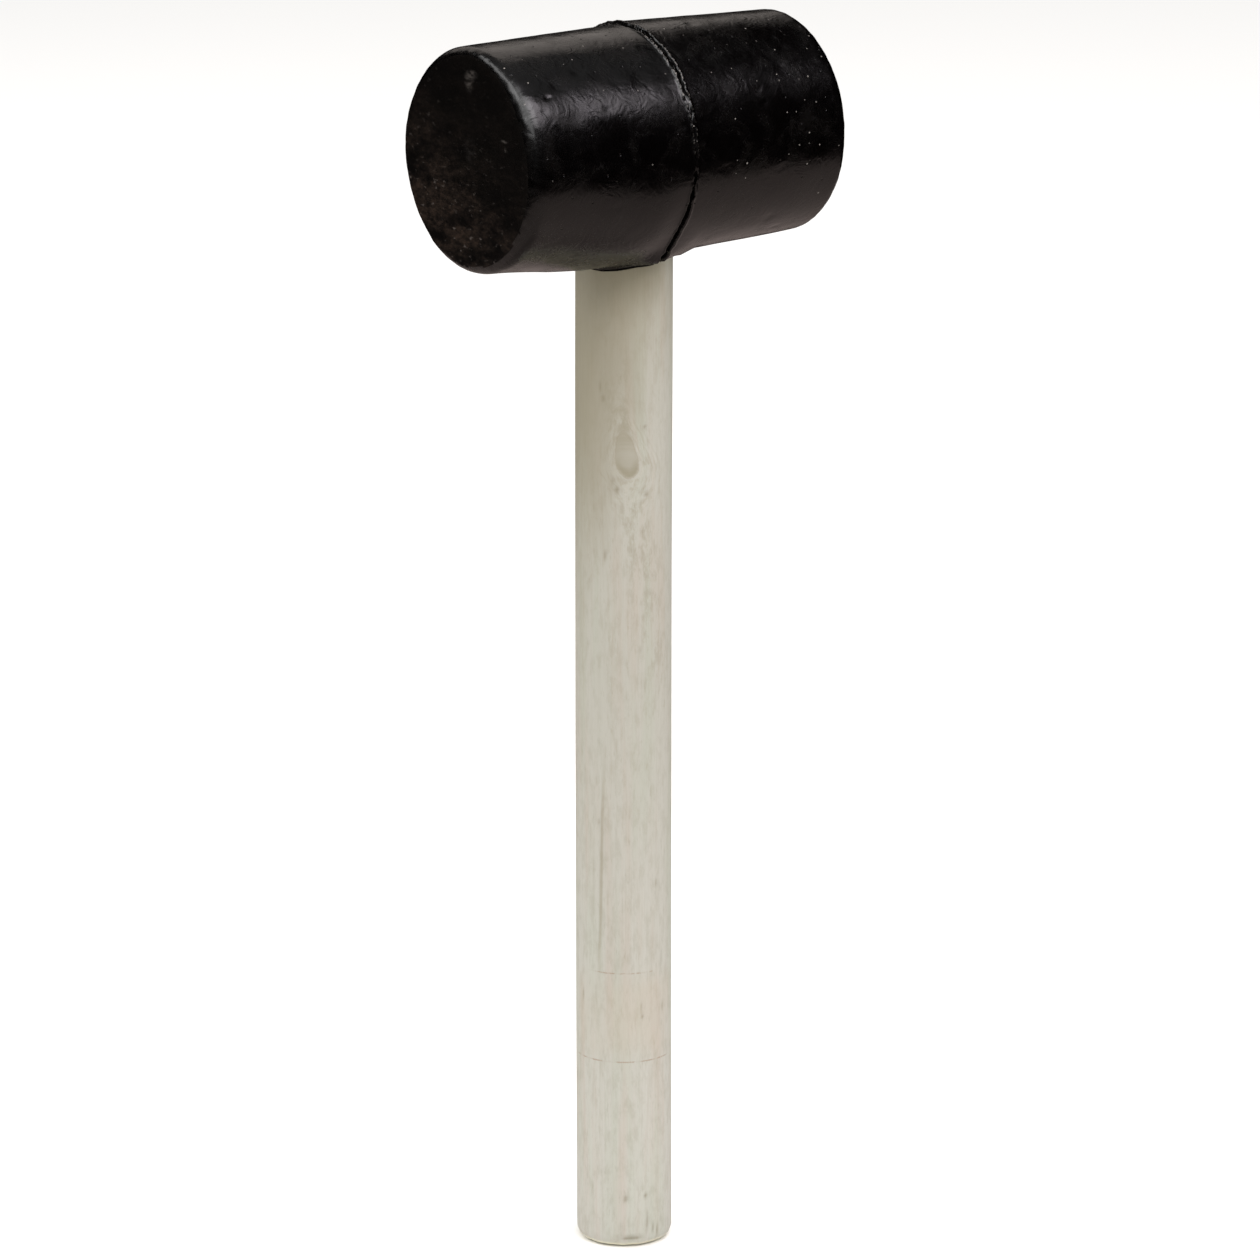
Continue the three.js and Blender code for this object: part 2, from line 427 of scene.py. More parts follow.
def moulded_rubber():
    """Carbon-black rubber with the satin skin of a steel mould: near black, with soft smudged
    reflections, swirls where the rubber flowed, pale grains pressed into it and pinhole pits."""
    material, add = new_material("moulded black rubber")
    place = place_in_mm(add)
    smudge = add("TexNoise", Vector=place, Scale=1 / 9, Detail=5.0, Distortion=0.8)
    swirl = add("TexNoise", Vector=place, Scale=1 / 6, Detail=1.5, Distortion=3.0)
    mottle = add("TexNoise", Vector=place, Scale=1 / 2.4, Detail=3.0, Distortion=1.5)
    fine = add("TexNoise", Vector=place, Scale=1 / 0.55, Detail=3.0, Roughness=0.7)
    flash = add("Attribute", attribute_name="flash").outputs["Fac"]

    # The surface unrolled: mm along the head, and mm around it at its middle radius
    parts = add("SeparateXYZ", Vector=place)
    rise = add("Math", parts.outputs["Z"], HEAD_AXIS, operation="SUBTRACT")
    turn = add("Math", parts.outputs["Y"], rise, operation="ARCTAN2")
    around = add("Math", turn, MID_RADIUS, operation="MULTIPLY")
    unrolled = add("CombineXYZ", X=parts.outputs["X"], Y=around)

    # Pale grains 0.25 to 0.5 mm across, at most one to each 3.6 mm, most of them on top and at +X
    cells = add("TexVoronoi", voronoi_dimensions="2D", Vector=unrolled, Scale=1 / 3.6)
    chance = add("SeparateColor", Color=cells.outputs["Color"])
    share = add("MapRange", Value=parts.outputs["X"], From_Min=-30, From_Max=20, To_Min=0.06, To_Max=0.19)
    settled = add("MapRange", Value=rise, From_Min=-12, From_Max=6, To_Min=0.15)
    share = add("Math", share, settled, operation="MULTIPLY")
    chosen = add("Math", chance.outputs["Red"], share, operation="LESS_THAN")
    size = add("MapRange", Value=chance.outputs["Green"], To_Min=0.035, To_Max=0.075)
    grain = add("Math", cells.outputs["Distance"], size, operation="LESS_THAN")
    dust = add("Math", grain, chosen, operation="MULTIPLY")
    shown = add("MapRange", Value=chance.outputs["Blue"], To_Min=0.05, To_Max=0.9)
    dust = add("Math", dust, shown, operation="MULTIPLY")

    # Pits 0.5 mm across, in about one in four of the 6 mm cells
    holes = add("TexVoronoi", voronoi_dimensions="2D", Vector=unrolled, Scale=1 / 6)
    lot = add("SeparateColor", Color=holes.outputs["Color"])
    picked = add("Math", lot.outputs["Blue"], 0.25, operation="LESS_THAN")
    hole = add(
        "MapRange", **SMOOTH, Value=holes.outputs["Distance"],
        From_Min=0.03, From_Max=0.065, To_Min=1.0, To_Max=0.0,
    )
    pits = add("Math", hole, picked, operation="MULTIPLY")

    # Smears half a millimetre wide where the swirls cross their middle value, in patches
    off_middle = add("Math", swirl, 0.5, operation="SUBTRACT")
    off_middle = add("Math", off_middle, operation="ABSOLUTE")
    crossing = add(
        "MapRange", **SMOOTH, Value=off_middle, From_Min=0.0, From_Max=0.022, To_Min=1.0, To_Max=0.0
    )
    patch = add("MapRange", **SMOOTH, Value=smudge, From_Min=0.46, From_Max=0.60, To_Max=0.6)
    scuffs = add("Math", crossing, patch, operation="MULTIPLY")

    # Torn edges of the flash catch the light, in specks and threads
    specks = add("MapRange", **SMOOTH, Value=fine, From_Min=0.48, From_Max=0.62)
    raised = add("MapRange", **SMOOTH, Value=flash, From_Min=0.20, From_Max=0.70)
    frayed = add("Math", raised, specks, operation="MULTIPLY")
    bloom = add("MapRange", **SMOOTH, Value=smudge, From_Min=0.45, From_Max=0.75)
    colour = linear("#020101")
    for cover, code in ((bloom, "#070504"), (scuffs, "#110f0f"), (frayed, "#7a746e"), (dust, "#8c8680")):
        colour = add("Mix", data_type="RGBA", Factor=cover, A=colour, B=linear(code))
    roughness = add("MapRange", Value=smudge, From_Min=0.30, From_Max=0.70, To_Min=0.13, To_Max=0.25)
    for cover, rougher in ((mottle, 0.11), (scuffs, 0.18), (frayed, 0.4)):
        roughness = add("Math", cover, rougher, roughness, operation="MULTIPLY_ADD")
    height = swirl
    for cover, higher in ((mottle, 0.2), (fine, 0.025), (dust, 0.5), (pits, -1.5)):
        height = add("Math", cover, higher, height, operation="MULTIPLY_ADD")
    bump = add("Bump", Strength=0.7, Distance=0.11 * MM, Height=height)
    skin = add("BsdfPrincipled", Base_Color=colour, Roughness=roughness, Normal=bump, IOR=1.5)
    add("OutputMaterial", Surface=skin)
    return material


def struck_rubber():
    """The strike faces: the same rubber scuffed matt by use, brown-black, with dirt trodden into its
    lower half and a few grey scrapes."""
    material, add = new_material("scuffed black rubber")
    place = place_in_mm(add)
    wide_place = add("VectorMath", place, (1, 0.5, 1.1), operation="MULTIPLY")
    cloud = add("TexNoise", Vector=wide_place, Scale=1 / 5, Detail=5.0, Roughness=0.65)
    fine = add("TexNoise", Vector=wide_place, Scale=1 / 1.0, Detail=4.0, Roughness=0.7)
    scrape = add("TexNoise", Vector=wide_place, Scale=1 / 1.2, Detail=3.0, Roughness=0.6)

    # Dirt gathers on the lower half and towards +Y
    towards = add("VectorMath", place, (0, 0.45, -0.9), operation="DOT_PRODUCT")
    low_down = add(
        "MapRange", **SMOOTH, Value=towards,
        From_Min=-0.9 * HEAD_AXIS - 12, From_Max=-0.9 * HEAD_AXIS + 26, To_Min=0.12,
    )
    mottled = add("MapRange", **SMOOTH, Value=cloud, From_Min=0.35, From_Max=0.65)
    speckled = add("MapRange", **SMOOTH, Value=fine, From_Min=0.35, From_Max=0.70, To_Min=0.25)
    dirt = add("Math", mottled, low_down, operation="MULTIPLY")
    dirt = add("Math", dirt, speckled, operation="MULTIPLY")
    scraped = add("MapRange", **SMOOTH, Value=scrape, From_Min=0.62, From_Max=0.74)
    scraped = add("Math", scraped, low_down, operation="MULTIPLY")
    colour = add("Mix", data_type="RGBA", Factor=dirt, A=linear("#040201"), B=linear("#2c2119"))
    colour = add("Mix", data_type="RGBA", Factor=scraped, A=colour, B=linear("#433d39"))

    # Grey smears where it met stone: (y, height above the axis, half width, half height, strength)
    ragged = add("MapRange", **SMOOTH, Value=scrape, From_Min=0.38, From_Max=0.62, To_Min=0.1)
    for y, above, half_width, half_height, strength in (
        (-1.0, 22.0, 2.2, 2.8, 0.48),
        (-2.4, 24.2, 2.4, 1.2, 0.48),
        (-16.4, 8.0, 1.8, 0.5, 0.55),
        (-17.3, 5.9, 0.6, 0.9, 0.30),
        (-1.0, 3.0, 2.4, 4.0, 0.10),
    ):
        off = add("VectorMath", place, (0, y, HEAD_AXIS + above), operation="SUBTRACT")
        off = add("VectorMath", off, (0, 1 / half_width, 1 / half_height), operation="MULTIPLY")
        far = add("VectorMath", off, operation="LENGTH")
        smear = add("MapRange", **SMOOTH, Value=far, From_Min=0.2, From_Max=1.3, To_Min=strength, To_Max=0.0)
        smear = add("Math", smear, ragged, operation="MULTIPLY")
        colour = add("Mix", data_type="RGBA", Factor=smear, A=colour, B=linear("#4a4541"))

    height = add("Math", cloud, 1.5, fine, operation="MULTIPLY_ADD")
    bump = add("Bump", Strength=0.6, Distance=0.18 * MM, Height=height)
    skin = add("BsdfPrincipled", Base_Color=colour, Roughness=0.6, Normal=bump, IOR=1.5)
    skin.inputs["Specular IOR Level"].default_value = 0.10
    add("OutputMaterial", Surface=skin)
    return material


def torn_rubber_and_lip_shade():
    """The walls of the tear: freshly torn rubber, dead matt and black, so that the tear reads as a gap. On
    the underside of the lip round the handle the same black is painted shade.
    """
    material, add = new_material("torn rubber and painted lip shade")
    crumb = add("TexNoise", Vector=place_in_mm(add), Scale=1 / 0.5, Detail=2.0)
    colour = add("Mix", data_type="RGBA", Factor=crumb, A=linear("#010000"), B=linear("#040302"))
    bump = add("Bump", Strength=0.5, Distance=0.1 * MM, Height=crumb)
    skin = add("BsdfPrincipled", Base_Color=colour, Roughness=0.9, Normal=bump, IOR=1.5)
    skin.inputs["Specular IOR Level"].default_value = 0.05
    add("OutputMaterial", Surface=skin)
    return material


head = build_head()
head.data.materials.append(moulded_rubber())
head.data.materials.append(struck_rubber())
head.data.materials.append(torn_rubber_and_lip_shade())

# The strike faces run out to where their edges turn away; the torn rubber is where the tear is deep, and on
# the underside of the lip round the handle, where its black is painted shade
FACE_FLATNESS = 0.93
FACE_DEPTH = 1.5
TORN_OR_SHADED_SHARE = 0.6
torn = head.data.attributes["torn"].data
for face in head.data.polygons:
    if abs(face.normal.x) > FACE_FLATNESS and abs(face.center.x) / MM > HALF_LENGTH - FACE_DEPTH:
        face.material_index = 1
    elif sum(torn[i].value for i in face.vertices) > TORN_OR_SHADED_SHARE * len(face.vertices):
        face.material_index = 2
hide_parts("rubber_head")
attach(head, "root")

# ---------------------------------------------------------------------------------------------
# Adhesive. A film of amber contact cement brushed on the tenon before the handle is driven in. It
# lies around the tenon and over its end, and none of it shows once the mallet is together.
# ---------------------------------------------------------------------------------------------

FILM_THICKNESS = 0.4
FILM_STEPS = 96


def build_film():
    """A cup with a wavy mouth, as a brushed film runs out, and a thickness that varies a little."""
    outer_r = film_high[0] / MM
    inner_r = outer_r - FILM_THICKNESS
    top = film_high[2] / MM
    mouth = film_low[2] / MM
    turn = 2 * np.pi * np.arange(FILM_STEPS) / FILM_STEPS
    circle = np.stack([np.cos(turn), np.sin(turn)], axis=1)
    wave = 1.5 + 0.9 * np.sin(3 * turn) + 0.5 * np.sin(7 * turn + 1)
    levels = np.linspace(0, 1, 14)
    rings = []
    for level in levels:
        thinner = 0.06 * (1 + np.sin(5 * turn + 9 * level))
        rings.append((outer_r - thinner, mouth + wave * (1 - level) + (top - mouth) * level))
    under = top - FILM_THICKNESS
    for radius, z in ((outer_r * 0.6, top), (0.5, top), (0.5, under), (inner_r * 0.6, under)):
        rings.append((0 * turn + radius, 0 * turn + z))
    for level in levels[::-1]:
        rings.append((0 * turn + inner_r, mouth + wave * (1 - level) + (under - mouth) * level))
    points = np.concatenate([np.column_stack([circle * r[:, None], z]) for r, z in rings])
    numbers = [list(range(k * FILM_STEPS, (k + 1) * FILM_STEPS)) for k in range(len(rings))]
    faces = []
    for k, ring in enumerate(numbers):
        faces.extend(ring_faces(ring, numbers[(k + 1) % len(numbers)]))
    return build_mesh("contact_cement_film", points, faces)


def contact_cement():
    """Dried contact cement: a glossy amber skin with darker, thicker runs."""
    material, add = new_material("contact cement")
    runs = add("TexNoise", Vector=place_in_mm(add), Scale=1 / 4, Detail=3.0, Distortion=0.5)
    thick = add("MapRange", Value=runs, From_Min=0.35, From_Max=0.65)
    colour = add("Mix", data_type="RGBA", Factor=thick, A=linear("#c49a4a"), B=linear("#8f6524"))
    bump = add("Bump", Strength=0.4, Distance=0.1 * MM, Height=runs)
    skin = add("BsdfPrincipled", Base_Color=colour, Roughness=0.3, Normal=bump, IOR=1.48)
    add("OutputMaterial", Surface=skin)
    return material


film = build_film()
film.data.materials.append(contact_cement())
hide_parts("socket_adhesive")
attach(film, "root")

# ---------------------------------------------------------------------------------------------
# Handle. A plain hardwood dowel, turned to one diameter, sanded, left unfinished and bleached grey
# by light and use. It has one sound knot, two faint scorched rings near the butt and a worn butt.
# ---------------------------------------------------------------------------------------------

_, handle_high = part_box("wooden_handle")
HANDLE_RADIUS = handle_high[0] / MM
HANDLE_TOP = handle_high[2] / MM
BUTT_ROUNDING = 2.8
TENON_CHAMFER = 2.0
HANDLE_STEPS = 192
SHOWN_TOP = 290.0

# The knot: its height, its angle around the handle, half its width and length, its lean per mm, and
# how strongly its rim shows
KNOT_Z, KNOT_TURN, KNOT_HALF_WIDTH, KNOT_HALF_LENGTH = 231.5, math.radians(-124.5), 3.9, 6.9
KNOT_LEAN = 0.14
RIM_STRENGTH = 0.36

# The dark vein: the height of its middle, its angle around the handle there, and its lean per mm
VEIN_Z, VEIN_TURN, VEIN_LEAN = 112.0, math.radians(-155.0), -0.028

# Rings scorched by a worn collar: (height, middle of its arc, half its arc in degrees, depth), and
# the height of the stain between them
RINGS = [(81.8, -130.0, 40.0, 0.02), (55.6, -133.0, 74.0, 0.04)]
STAIN_Z = 68.7

# Nicks: (height, angle in degrees, half width, half height, depth), in mm, with the depth at which they are
# darkest and how strongly that darkening shows
DARKEST_DEPTH = 0.2
NICK_STRENGTH = 0.6
NICKS = [
    (73.9, 175.5, 0.4, 1.8, 0.14),
    (68.8, -103.7, 0.35, 0.7, 0.18),
    (71.8, -104.5, 0.25, 1.4, 0.12),
    (70.5, -72.4, 0.3, 1.8, 0.14),
    (15.3, -99.6, 0.5, 0.8, 0.22),
    (14.9, -124.8, 0.5, 0.9, 0.18),
    (3.0, -118.0, 2.1, 0.5, 0.45),
    (7.6, -97.0, 0.25, 2.4, 0.2),
    (5.4, -89.0, 0.3, 1.6, 0.2),
    (4.4, -82.0, 0.3, 2.0, 0.2),
    (7.4, -76.0, 0.25, 1.4, 0.15),
    (221.5, -135.0, 0.9, 1.0, 0.18),
    (224.0, -140.0, 0.5, 1.4, 0.12),
    (239.0, -101.0, 0.5, 0.6, 0.16),
    (234.5, -97.0, 0.6, 0.4, 0.12),
    (220.0, -99.0, 0.6, 0.8, 0.16),
    (247.0, -152.0, 0.6, 0.9, 0.16),
    (250.0, -156.0, 0.4, 1.5, 0.14),
]
NICKS += scatter.uniform((6, -180, 0.3, 0.5, 0.05), (275, 180, 0.6, 2.2, 0.16), (26, 5)).tolist()


def out_and_across(turn):
    """Unit vectors out of the handle and across its face, at an angle around it."""
    return np.array([(math.cos(turn), math.sin(turn), 0.0), (-math.sin(turn), math.cos(turn), 0.0)])


knot_out, knot_across = out_and_across(KNOT_TURN)
vein_out, vein_across = out_and_across(VEIN_TURN)


def handle_profile():
    """Rings from the middle of the butt face to the end of the tenon: (radius, z, normal_r, normal_z)."""
    rings = [(radius, 0.0, 0.0, -1.0) for radius in (1.2, 2.6, 4.0, 5.4, 6.8, 8.2, 9.5)]
    for i in range(9):
        turn = math.radians(90) * i / 8
        rings.append((
            HANDLE_RADIUS - BUTT_ROUNDING + BUTT_ROUNDING * math.sin(turn),
            BUTT_ROUNDING - BUTT_ROUNDING * math.cos(turn),
            math.sin(turn),
            -math.cos(turn),
        ))
    shown = np.linspace(BUTT_ROUNDING, SHOWN_TOP, 345)[1:]
    hidden = np.linspace(SHOWN_TOP, HANDLE_TOP - TENON_CHAMFER, 12)[1:]
    rings += [(HANDLE_RADIUS, z, 1.0, 0.0) for z in np.concatenate([shown, hidden])]
    rings.append((HANDLE_RADIUS - TENON_CHAMFER, HANDLE_TOP, 0.0, 1.0))
    rings += [(radius, HANDLE_TOP, 0.0, 1.0) for radius in (8.0, 4.0)]
    return np.array(rings)


def build_handle():
    profile = handle_profile()
    turns = 2 * np.pi * np.arange(HANDLE_STEPS) / HANDLE_STEPS
    station, turn = np.meshgrid(np.arange(len(profile)), turns, indexing="ij")
    radius, z, normal_r, normal_z = profile[station.ravel()].T
    turn = turn.ravel()
    plain = np.stack([radius * np.cos(turn), radius * np.sin(turn), z], axis=1)
    along_grain = plain * (1, 1, 0.06)
    out = 0.05 * np.cos(2 * turn + 0.9) + 0.05 * uneven(plain * (1, 1, 0.15), 9.0, 1.0) - 0.06
    out += 0.018 * uneven(along_grain, 0.9, 2.0)
    worn = np.exp(-(((z - 1.4) / 1.8) ** 2)) * (radius > HANDLE_RADIUS - BUTT_ROUNDING)
    out += worn * (0.22 * uneven(plain, 2.2, 3.0) - 0.12)
    across = plain @ knot_across
    front = (plain @ knot_out) > 0
    to_knot = np.hypot(across / KNOT_HALF_WIDTH, (z - KNOT_Z) / KNOT_HALF_LENGTH)
    swollen = 0.07 * np.exp(-(((to_knot - 1.25) / 0.35) ** 2))
    shrunk = 0.05 * np.exp(-(((to_knot - 0.95) / 0.12) ** 2))
    out += front * (swollen - shrunk)
    for at_z, middle, half_arc, depth in RINGS:
        away = np.abs(np.degrees(np.angle(np.exp(1j * (turn - math.radians(middle))))))
        inside = np.clip((half_arc - away) / 12, 0, 1)
        broken = np.clip(0.7 + 0.8 * uneven(plain, 3.0, at_z), 0, 1)
        out -= depth * inside * broken * np.exp(-(((z - at_z) / 0.45) ** 2))
    nick = 0 * z
    for at_z, at_turn, half_width, half_height, depth in NICKS:
        side = radius * np.angle(np.exp(1j * (turn - math.radians(at_turn))))
        away = (side / half_width) ** 2 + ((z - at_z) / half_height) ** 2
        nick += depth * np.exp(-away) * (radius > 9)
    out -= nick
    points = plain.copy()
    points[:, 0] += normal_r * out * np.cos(turn)
    points[:, 1] += normal_r * out * np.sin(turn)
    points[:, 2] += normal_z * out * (np.abs(normal_z) < 1)
    points[:, 2] += (np.abs(normal_z) == 1) * (z < 1) * 0.05 * (uneven(plain, 1.6, 5.0) + 1)

    bow = 0.2 * np.sin(np.pi * np.clip(z / 280, 0, 1))
    points[:, :2] -= bow[:, None] * np.array([0.8, -0.6])
    faces = []
    for k in range(len(profile) - 1):
        ring = list(range(k * HANDLE_STEPS, (k + 1) * HANDLE_STEPS))
        above = list(range((k + 1) * HANDLE_STEPS, (k + 2) * HANDLE_STEPS))
        faces.extend(ring_faces(ring, above))
    count = len(points)
    last = (len(profile) - 1) * HANDLE_STEPS
    for j in range(HANDLE_STEPS):
        after = (j + 1) % HANDLE_STEPS
        faces.append((count, after, j))
        faces.append((count + 1, last + j, last + after))
    points = np.concatenate([points, [(0, 0, 0), (0, 0, HANDLE_TOP)]])
    made = build_mesh("turned_hardwood_handle", points, faces)
    mark_points(made, "nick", np.concatenate([np.clip(nick / DARKEST_DEPTH, 0, 1), [0, 0]]))
    return made


def bleached_hardwood():
    """Unfinished beech-like hardwood, bleached grey-beige: fine straight fibres and short dark pores along
    the dowel, pinkish and greenish streaks, a pale knot that the grain flows around, dirt and a painted
    shadow under the head, painted shade under the lip, painted light on the butt's edge, and a tan stain
    between the two faint rings."""
    material, add = new_material("bleached turned hardwood")
    place = place_in_mm(add)
    height = add("SeparateXYZ", Vector=place).outputs["Z"]

    # The knot's own coordinates, in half widths across and half lengths along: a drop, narrow end up
    across_mm = add("VectorMath", place, knot_across, operation="DOT_PRODUCT")
    out_mm = add("VectorMath", place, knot_out, operation="DOT_PRODUCT")
    facing = add("MapRange", **SMOOTH, Value=out_mm, From_Min=2, From_Max=6)
    above = add("Math", height, KNOT_Z, operation="SUBTRACT")
    along = add("Math", above, KNOT_HALF_LENGTH, operation="DIVIDE")
    leaning = add("Math", above, KNOT_LEAN, across_mm, operation="MULTIPLY_ADD")
    narrowing = add("MapRange", Value=along, From_Min=-0.6, From_Max=1.1, To_Min=1.0, To_Max=1.7)
    across = add("Math", leaning, KNOT_HALF_WIDTH, operation="DIVIDE")
    across = add("Math", across, narrowing, operation="MULTIPLY")
    drop = add("CombineXYZ", X=across, Y=along)
    to_knot = add("VectorMath", drop, operation="LENGTH")
    ragged = add("TexNoise", Vector=place, Scale=1 / 2.2, Detail=3.0, Roughness=0.6)
    to_knot = add("Math", ragged, 0.35, to_knot, operation="MULTIPLY_ADD")
    to_knot = add("Math", to_knot, 0.17, operation="SUBTRACT")

    # The fibres part around the knot as a stream parts around a stone
    spread = add("Math", to_knot, to_knot, operation="MULTIPLY")
    spread = add("Math", spread, 1.0, operation="MAXIMUM")
    aside = add("Math", leaning, spread, operation="DIVIDE")
    aside = add("Math", aside, facing, operation="MULTIPLY")
    push = add("VectorMath", knot_across, operation="SCALE", Scale=aside)
    grain_place = add("VectorMath", place, push, operation="SUBTRACT")

    # Fibres 0.6 mm wide and pores 0.5 mm wide, drawn over twice as coarse as beech has them
    fibre_place = add("VectorMath", grain_place, (1, 1, 0.03), operation="MULTIPLY")
    fibres = add("TexNoise", Vector=fibre_place, Scale=1 / 0.6, Detail=3.0, Roughness=0.65)
    pore_place = add("VectorMath", grain_place, (1, 1, 0.16), operation="MULTIPLY")
    pores = add("TexNoise", Vector=pore_place, Scale=1 / 0.5, Detail=2.0, Roughness=0.6)
    streak_place = add("VectorMath", grain_place, (1, 1, 0.06), operation="MULTIPLY")
    streaks = add("TexNoise", Vector=streak_place, Scale=1 / 3.5, Detail=4.0, Roughness=0.6)
    patch_place = add("VectorMath", place, (1, 1, 0.3), operation="MULTIPLY")
    patches = add("TexNoise", Vector=patch_place, Scale=1 / 11, Detail=4.0, Roughness=0.55)
    green = add("TexNoise", noise_dimensions="4D", Vector=streak_place, W=4.0, Scale=1 / 5)

    pinkness = add("MapRange", **SMOOTH, Value=streaks, From_Min=0.46, From_Max=0.68, To_Max=0.7)
    greenness = add("MapRange", **SMOOTH, Value=green, From_Min=0.48, From_Max=0.66, To_Max=0.6)
    dark_fibre = add("MapRange", **SMOOTH, Value=fibres, From_Min=0.40, From_Max=0.75, To_Max=0.15)
    open_pore = add("MapRange", **SMOOTH, Value=pores, From_Min=0.58, From_Max=0.76, To_Max=0.24)

    # Colours laid over the bare wood one after another, each with the masks that together place it
    layers = [
        (linear("#b7aea2"), pinkness),
        (linear("#b2b5a7"), greenness),
        (linear("#98917f"), dark_fibre),
        (linear("#877e6a"), open_pore),
    ]

    # Blotches a few millimetres long, heavier in the disturbed grain above and below the knot, then
    # a dark vein that leans slightly across the fibres
    blotch_place = add("VectorMath", grain_place, (1, 1, 0.35), operation="MULTIPLY")
    blotches = add("TexNoise", Vector=blotch_place, Scale=1 / 1.8, Detail=4.0, Roughness=0.65)
    off_knot = add("Math", leaning, operation="ABSOLUTE")
    in_line = add("MapRange", **SMOOTH, Value=off_knot, From_Min=1.5, From_Max=5.5, To_Min=1.0, To_Max=0.0)
    far_along = add("Math", above, operation="ABSOLUTE")
    fading = add("MapRange", **SMOOTH, Value=far_along, From_Min=18, From_Max=85, To_Min=0.45, To_Max=0.0)
    disturbed = add("Math", in_line, fading, operation="MULTIPLY")
    disturbed = add("Math", disturbed, facing, 0.30, operation="MULTIPLY_ADD")
    blotched = add("MapRange", **SMOOTH, Value=blotches, From_Min=0.42, From_Max=0.70, To_Max=disturbed)
    layers.append((linear("#948e7b"), blotched))
    sideways = add("VectorMath", grain_place, vein_across, operation="DOT_PRODUCT")
    above_vein = add("Math", height, VEIN_Z, operation="SUBTRACT")
    wavering = add("Math", above_vein, VEIN_LEAN, sideways, operation="MULTIPLY_ADD")
    wavering = add("Math", streaks, 1.6, wavering, operation="MULTIPLY_ADD")
    wavering = add("Math", wavering, 0.8, operation="SUBTRACT")
    wavering = add("Math", wavering, operation="ABSOLUTE")
    vein = add("MapRange", **SMOOTH, Value=wavering, From_Min=0.1, From_Max=0.9, To_Min=1.0, To_Max=0.0)
    off_vein = add("Math", above_vein, operation="ABSOLUTE")
    fading = add("MapRange", **SMOOTH, Value=off_vein, From_Min=10, From_Max=42, To_Min=0.42, To_Max=0.0)
    on_front = add("VectorMath", place, vein_out, operation="DOT_PRODUCT")
    on_front = add("Math", on_front, 6.0, operation="GREATER_THAN")
    layers.append((linear("#83775d"), vein, fading, on_front))

    # The knot: pinkish grey, a thin darker rim, and an olive crescent at its lower end
    inside = add("MapRange", **SMOOTH, Value=to_knot, From_Min=0.82, From_Max=1.0, To_Min=1.0, To_Max=0.0)
    lower_end = add(
        "MapRange", **SMOOTH, Value=along, From_Min=-0.75, From_Max=0.20, To_Min=0.75, To_Max=0.50
    )
    in_rim = add("Math", to_knot, 0.93, 0.07, operation="COMPARE")
    low_down = add("MapRange", **SMOOTH, Value=along, From_Min=-0.70, From_Max=0.10, To_Min=1.0, To_Max=0.0)
    near_rim = add("MapRange", **SMOOTH, Value=to_knot, From_Min=0.45, From_Max=0.80)
    darker = add("Math", low_down, near_rim, operation="MULTIPLY")
    knot_colour = add("Mix", data_type="RGBA", Factor=darker, A=linear("#97917f"), B=linear("#7f7659"))
    layers.append((knot_colour, inside, facing, lower_end))
    layers.append((linear("#8b8068"), in_rim, RIM_STRENGTH, facing))

    # Short pale and dark strokes that curl round the knot
    turn = add("Math", along, across, operation="ARCTAN2")
    curl = add("CombineXYZ", X=to_knot, Y=turn)
    curl = add("VectorMath", curl, (4.5, 2.6, 1.0), operation="MULTIPLY")
    strokes = add("TexNoise", noise_dimensions="2D", Vector=curl, Scale=1.0, Detail=4.0)
    begins = add("MapRange", **SMOOTH, Value=to_knot, From_Min=0.95, From_Max=1.15)
    ends = add("MapRange", **SMOOTH, Value=to_knot, From_Min=1.6, From_Max=3.2, To_Min=1.0, To_Max=0.0)
    around = add("Math", begins, ends, operation="MULTIPLY")
    around = add("Math", around, facing, operation="MULTIPLY")
    pale = add("MapRange", **SMOOTH, Value=strokes, From_Min=0.58, From_Max=0.70, To_Max=0.14)
    dark = add("MapRange", **SMOOTH, Value=strokes, From_Min=0.34, From_Max=0.48, To_Min=0.30, To_Max=0.0)
    layers.append((linear("#d9d5c6"), pale, around))
    layers.append((linear("#8d8469"), dark, around))

    # The two rings, each a hair line that comes and goes, then the tan stain between them
    present = add("MapRange", **SMOOTH, Value=ragged, From_Min=0.42, From_Max=0.56, To_Min=0.06, To_Max=0.50)
    for at_z, middle, half_arc, _ in RINGS:
        middle_out, _ = out_and_across(math.radians(middle))
        reach = add("VectorMath", place, middle_out, operation="DOT_PRODUCT")
        edge = HANDLE_RADIUS * math.cos(math.radians(half_arc))
        in_arc = add("MapRange", **SMOOTH, Value=reach, From_Min=edge - 1, From_Max=edge + 1)
        line = add("Math", height, at_z, 0.22, operation="COMPARE")
        layers.append((linear("#8d7058"), line, in_arc, present))
    off_middle = add("Math", height, STAIN_Z, operation="SUBTRACT")
    off_middle = add("Math", off_middle, operation="ABSOLUTE")
    between = add("MapRange", **SMOOTH, Value=off_middle, From_Min=7, From_Max=15, To_Min=1.0, To_Max=0.0)
    stain = add("MapRange", Value=patches, From_Min=0.3, From_Max=0.65, To_Max=0.30)
    layers.append((linear("#b8a893"), stain, between, facing))

    # Painted shadow of the head on the wood under it, mixed with dirt off the rubber, most of it on the side
    # away from +X; then a grey tone that deepens from 20 mm to 170 mm up the handle
    wander = add("Math", patches, 60.0, height, operation="MULTIPLY_ADD")
    towards_x = add("VectorMath", place, (0.8, -0.6, 0), operation="DOT_PRODUCT")
    wander = add("Math", towards_x, -3.2, wander, operation="MULTIPLY_ADD")
    grime_and_painted_shadow = add("MapRange", **SMOOTH, Value=wander, From_Min=230, From_Max=318, To_Max=0.85)
    layers.append((linear("#877e65"), grime_and_painted_shadow))
    greyer_upwards = add("MapRange", Value=height, From_Min=20, From_Max=170, To_Max=0.33)
    layers.append((linear("#8c8878"), greyer_upwards))

